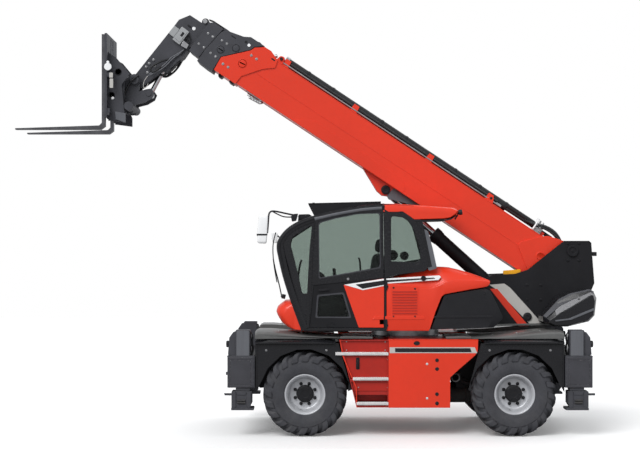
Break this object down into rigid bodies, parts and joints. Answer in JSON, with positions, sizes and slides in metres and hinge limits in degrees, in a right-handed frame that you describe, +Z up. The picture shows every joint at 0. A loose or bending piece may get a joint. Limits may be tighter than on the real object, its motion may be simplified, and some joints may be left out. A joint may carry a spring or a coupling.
{
  "type": "rotating telescopic handler",
  "caption": "Wheeled chassis with four stabilisers and a slewing turret carrying a side cab, an engine housing and a telescopic boom with pallet forks.",
  "frame": {"origin": "on the ground, under the middle of the overall length and width, forks included", "axes": "+X ahead towards the forks' tips, +Y to the machine's left (the cab's side), +Z up"},
  "size_m": [7.7994, 2.425, 5.6032],
  "materials": {
    "casting": "painted casting",
    "black_paint": "satin black coating",
    "rubber": "hoses and pipes",
    "red_paint": "gloss enamel",
    "glass": "clear tinted pane",
    "seat": "woven seat",
    "black_plastic": "textured moulding",
    "chrome": "polished rod",
    "rim_silver": "silver enamel",
    "steel": "machined ring",
    "dark_red_paint": "satin enamel",
    "tyre": "matt rubber"
  },
  "bodies": {
    "chassis": {"chassis_frame": "black_paint", "slew_ring": "steel", "axles": "casting", "driveline": "casting", "mudguards": "black_plastic", "side_boxes": "red_paint", "steps": "dark_red_paint", "exhaust": "black_paint", "stabiliser_housings": "black_paint"},
    "turret": {"turret_frame": "black_paint", "rear_covers": "black_plastic", "red_panels": "red_paint", "left_pod": "black_plastic", "engine_housing": "red_paint", "engine": "casting", "cab_frame": "black_paint", "cab_glass": "glass", "roof_guard": "black_paint", "cab_interior": "seat", "mirror": "black_plastic", "lamps": "black_plastic"},
    "hood": {"hood": "black_plastic"},
    "door": {"door": "red_paint", "door_glass": "glass"},
    "boom": {"boom_outer": "red_paint", "boom_hoses": "rubber"},
    "section_2": {"boom_section_2": "black_paint"},
    "section_3": {"boom_section_3": "black_paint"},
    "section_4": {"boom_section_4": "black_paint", "boom_head": "black_paint"},
    "lift_rod": {"lift_rod": "chrome"},
    "lift_barrel": {"lift_barrel": "black_paint"},
    "tilt_barrel": {"tilt_barrel": "black_paint"},
    "tilt_rod": {"tilt_rod": "chrome"},
    "carriage": {"carriage_coupler": "black_paint", "fork_carriage": "black_paint", "forks": "black_paint"},
    "knuckle_front_left": {"knuckle_front_left": "casting"},
    "wheel_front_left": {"tyre_front_left": "tyre", "rim_front_left": "rim_silver"},
    "stabiliser_beam_front_left": {"stabiliser_beam_front_left": "black_paint"},
    "stabiliser_leg_front_left": {"stabiliser_leg_front_left": "black_paint"},
    "knuckle_front_right": {"knuckle_front_right": "casting"},
    "wheel_front_right": {"tyre_front_right": "tyre", "rim_front_right": "rim_silver"},
    "stabiliser_beam_front_right": {"stabiliser_beam_front_right": "black_paint"},
    "stabiliser_leg_front_right": {"stabiliser_leg_front_right": "black_paint"},
    "knuckle_rear_left": {"knuckle_rear_left": "casting"},
    "wheel_rear_left": {"tyre_rear_left": "tyre", "rim_rear_left": "rim_silver"},
    "stabiliser_beam_rear_left": {"stabiliser_beam_rear_left": "black_paint"},
    "stabiliser_leg_rear_left": {"stabiliser_leg_rear_left": "black_paint"},
    "knuckle_rear_right": {"knuckle_rear_right": "casting"},
    "wheel_rear_right": {"tyre_rear_right": "tyre", "rim_rear_right": "rim_silver"},
    "stabiliser_beam_rear_right": {"stabiliser_beam_rear_right": "black_paint"},
    "stabiliser_leg_rear_right": {"stabiliser_leg_rear_right": "black_paint"}
  },
  "joints": [
    {"name": "turret_slew", "type": "hinge", "parent": "chassis", "child": "turret", "pos_m": [-1.363, 0, 1.364], "axis": [0, 0, 1], "continuous": true},
    {"name": "steer_front_left", "type": "hinge", "parent": "chassis", "child": "knuckle_front_left", "pos_m": [-0.008, 0.85, 0.545], "axis": [0, 0, 1], "range_deg": [-30, 30]},
    {"name": "spin_front_left", "type": "hinge", "parent": "knuckle_front_left", "child": "wheel_front_left", "pos_m": [-0.008, 0.985, 0.545], "axis": [0, 1, 0], "continuous": true},
    {"name": "beam_front_left", "type": "slide", "parent": "chassis", "child": "stabiliser_beam_front_left", "axis": [0, 1, 0], "range_m": [0, 1.2]},
    {"name": "leg_front_left", "type": "slide", "parent": "stabiliser_beam_front_left", "child": "stabiliser_leg_front_left", "axis": [0, 0, -1], "range_m": [0, 0.5]},
    {"name": "steer_front_right", "type": "hinge", "parent": "chassis", "child": "knuckle_front_right", "pos_m": [-0.008, -0.85, 0.545], "axis": [0, 0, 1], "range_deg": [-30, 30]},
    {"name": "spin_front_right", "type": "hinge", "parent": "knuckle_front_right", "child": "wheel_front_right", "pos_m": [-0.008, -0.985, 0.545], "axis": [0, 1, 0], "continuous": true},
    {"name": "beam_front_right", "type": "slide", "parent": "chassis", "child": "stabiliser_beam_front_right", "axis": [0, -1, 0], "range_m": [0, 1.2]},
    {"name": "leg_front_right", "type": "slide", "parent": "stabiliser_beam_front_right", "child": "stabiliser_leg_front_right", "axis": [0, 0, -1], "range_m": [0, 0.5]},
    {"name": "steer_rear_left", "type": "hinge", "parent": "chassis", "child": "knuckle_rear_left", "pos_m": [-2.718, 0.85, 0.545], "axis": [0, 0, 1], "range_deg": [-30, 30]},
    {"name": "spin_rear_left", "type": "hinge", "parent": "knuckle_rear_left", "child": "wheel_rear_left", "pos_m": [-2.718, 0.985, 0.545], "axis": [0, 1, 0], "continuous": true},
    {"name": "beam_rear_left", "type": "slide", "parent": "chassis", "child": "stabiliser_beam_rear_left", "axis": [0, 1, 0], "range_m": [0, 1.2]},
    {"name": "leg_rear_left", "type": "slide", "parent": "stabiliser_beam_rear_left", "child": "stabiliser_leg_rear_left", "axis": [0, 0, -1], "range_m": [0, 0.5]},
    {"name": "steer_rear_right", "type": "hinge", "parent": "chassis", "child": "knuckle_rear_right", "pos_m": [-2.718, -0.85, 0.545], "axis": [0, 0, 1], "range_deg": [-30, 30]},
    {"name": "spin_rear_right", "type": "hinge", "parent": "knuckle_rear_right", "child": "wheel_rear_right", "pos_m": [-2.718, -0.985, 0.545], "axis": [0, 1, 0], "continuous": true},
    {"name": "beam_rear_right", "type": "slide", "parent": "chassis", "child": "stabiliser_beam_rear_right", "axis": [0, -1, 0], "range_m": [0, 1.2]},
    {"name": "leg_rear_right", "type": "slide", "parent": "stabiliser_beam_rear_right", "child": "stabiliser_leg_rear_right", "axis": [0, 0, -1], "range_m": [0, 0.5]},
    {"name": "door_hinge", "type": "hinge", "parent": "turret", "child": "door", "pos_m": [-1.033, 1.178, 1.405], "axis": [0, 0, 1], "range_deg": [0, 100]},
    {"name": "hood_hinge", "type": "hinge", "parent": "turret", "child": "hood", "pos_m": [-1.363, -0.366, 2.03], "axis": [-1, 0, 0], "range_deg": [0, 60]},
    {"name": "boom_lift", "type": "hinge", "parent": "turret", "child": "boom", "pos_m": [-3.605, 0, 2.397], "axis": [0, -1, 0], "range_deg": [-36, 46.5]},
    {"name": "telescope_2", "type": "slide", "parent": "boom", "child": "section_2", "axis": [0.8339, 0, 0.5519], "range_m": [0, 4.1]},
    {"name": "telescope_3", "type": "slide", "parent": "section_2", "child": "section_3", "axis": [0.8339, 0, 0.5519], "range_m": [0, 4.1]},
    {"name": "telescope_4", "type": "slide", "parent": "section_3", "child": "section_4", "axis": [0.8339, 0, 0.5519], "range_m": [0, 4.1]},
    {"name": "lift_rod_pin", "type": "hinge", "parent": "boom", "child": "lift_rod", "pos_m": [-1.09582, 0, 3.22794], "axis": [0, -1, 0], "range_deg": [-2, 2]},
    {"name": "lift_barrel_slide", "type": "slide", "parent": "lift_rod", "child": "lift_barrel", "axis": [-0.742, 0, -0.6704], "range_m": [-0.65, 0.85]},
    {"name": "carriage_tilt", "type": "hinge", "parent": "section_4", "child": "carriage", "pos_m": [2.31444, 0, 4.71405], "axis": [0, -1, 0], "range_deg": [-60, 40]},
    {"name": "tilt_barrel_pin", "type": "hinge", "parent": "section_4", "child": "tilt_barrel", "pos_m": [1.67842, 0, 5.36877], "axis": [0, -1, 0], "range_deg": [-3, 3]},
    {"name": "tilt_rod_slide", "type": "slide", "parent": "tilt_barrel", "child": "tilt_rod", "axis": [0.4674, 0, -0.884], "range_m": [-0.26, 0.18]}
  ],
  "couplings": [
    {"joint": "steer_front_right", "follows": "steer_front_left", "ratio": 1},
    {"joint": "steer_rear_left", "follows": "steer_front_left", "ratio": -1},
    {"joint": "steer_rear_right", "follows": "steer_front_left", "ratio": -1},
    {"joint": "telescope_3", "follows": "telescope_2", "ratio": 1},
    {"joint": "telescope_4", "follows": "telescope_2", "ratio": 1},
    {"joint": "lift_rod_pin", "follows": "boom_lift", "ratio": -0.02},
    {"joint": "lift_barrel_slide", "follows": "boom_lift", "m_per_rad": 0.9683},
    {"joint": "tilt_barrel_pin", "follows": "carriage_tilt", "ratio": 0.03},
    {"joint": "tilt_rod_slide", "follows": "carriage_tilt", "m_per_rad": 0.23205}
  ]
}
